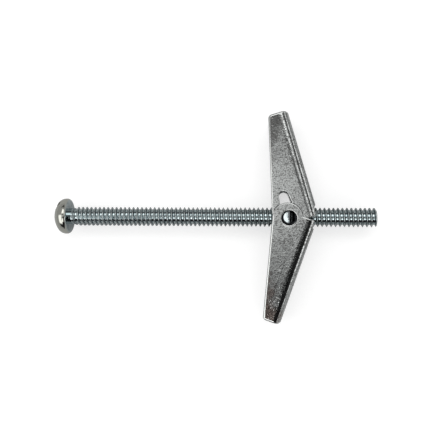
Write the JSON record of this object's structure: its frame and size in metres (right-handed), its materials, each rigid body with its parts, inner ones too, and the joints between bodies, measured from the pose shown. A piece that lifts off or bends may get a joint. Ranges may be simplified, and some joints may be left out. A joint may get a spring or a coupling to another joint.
{
  "type": "spring toggle bolt",
  "caption": "Slotted round head machine screw carrying a trunnion nut with two sprung folding sheet steel wings, for fixing to a hollow wall.",
  "frame": {"origin": "centre of the bearing face under the screw's head", "axes": "+X along the screw to its tip, +Y towards the upper wing, +Z along the trunnion; it lies with -Z down"},
  "size_m": [0.0784, 0.0502, 0.0106],
  "materials": {
    "zinc_screw": "clear zinc plate on a rolled thread",
    "zinc_nut": "clear zinc plate, cropped ends bare and bright",
    "spring_wire": "drawn spring wire, dull grey",
    "zinc_sheet": "clear zinc plate on stamped sheet, faintly mottled"
  },
  "bodies": {
    "bolt": {"machine_screw": "zinc_screw"},
    "nut": {"trunnion_nut": "zinc_nut", "torsion_spring": "spring_wire"},
    "upper": {"upper_wing": "zinc_sheet"},
    "lower": {"lower_wing": "zinc_sheet"}
  },
  "joints": [
    {"name": "nut_travel", "type": "slide", "parent": "bolt", "child": "nut", "axis": [1, 0, 0], "range_m": [-0.028, 0.018]},
    {"name": "upper_fold", "type": "hinge", "parent": "nut", "child": "upper", "pos_m": [0.0539, 0, 0], "axis": [0, 0, 1], "range_deg": [0, 80], "stiffness_Nm_per_rad": 0.01, "springref_deg": -40.11, "deforming": ["torsion_spring"]},
    {"name": "lower_fold", "type": "hinge", "parent": "nut", "child": "lower", "pos_m": [0.0539, 0, 0], "axis": [0, 0, -1], "range_deg": [0, 77], "stiffness_Nm_per_rad": 0.01, "springref_deg": -40.11, "deforming": ["torsion_spring"]}
  ]
}
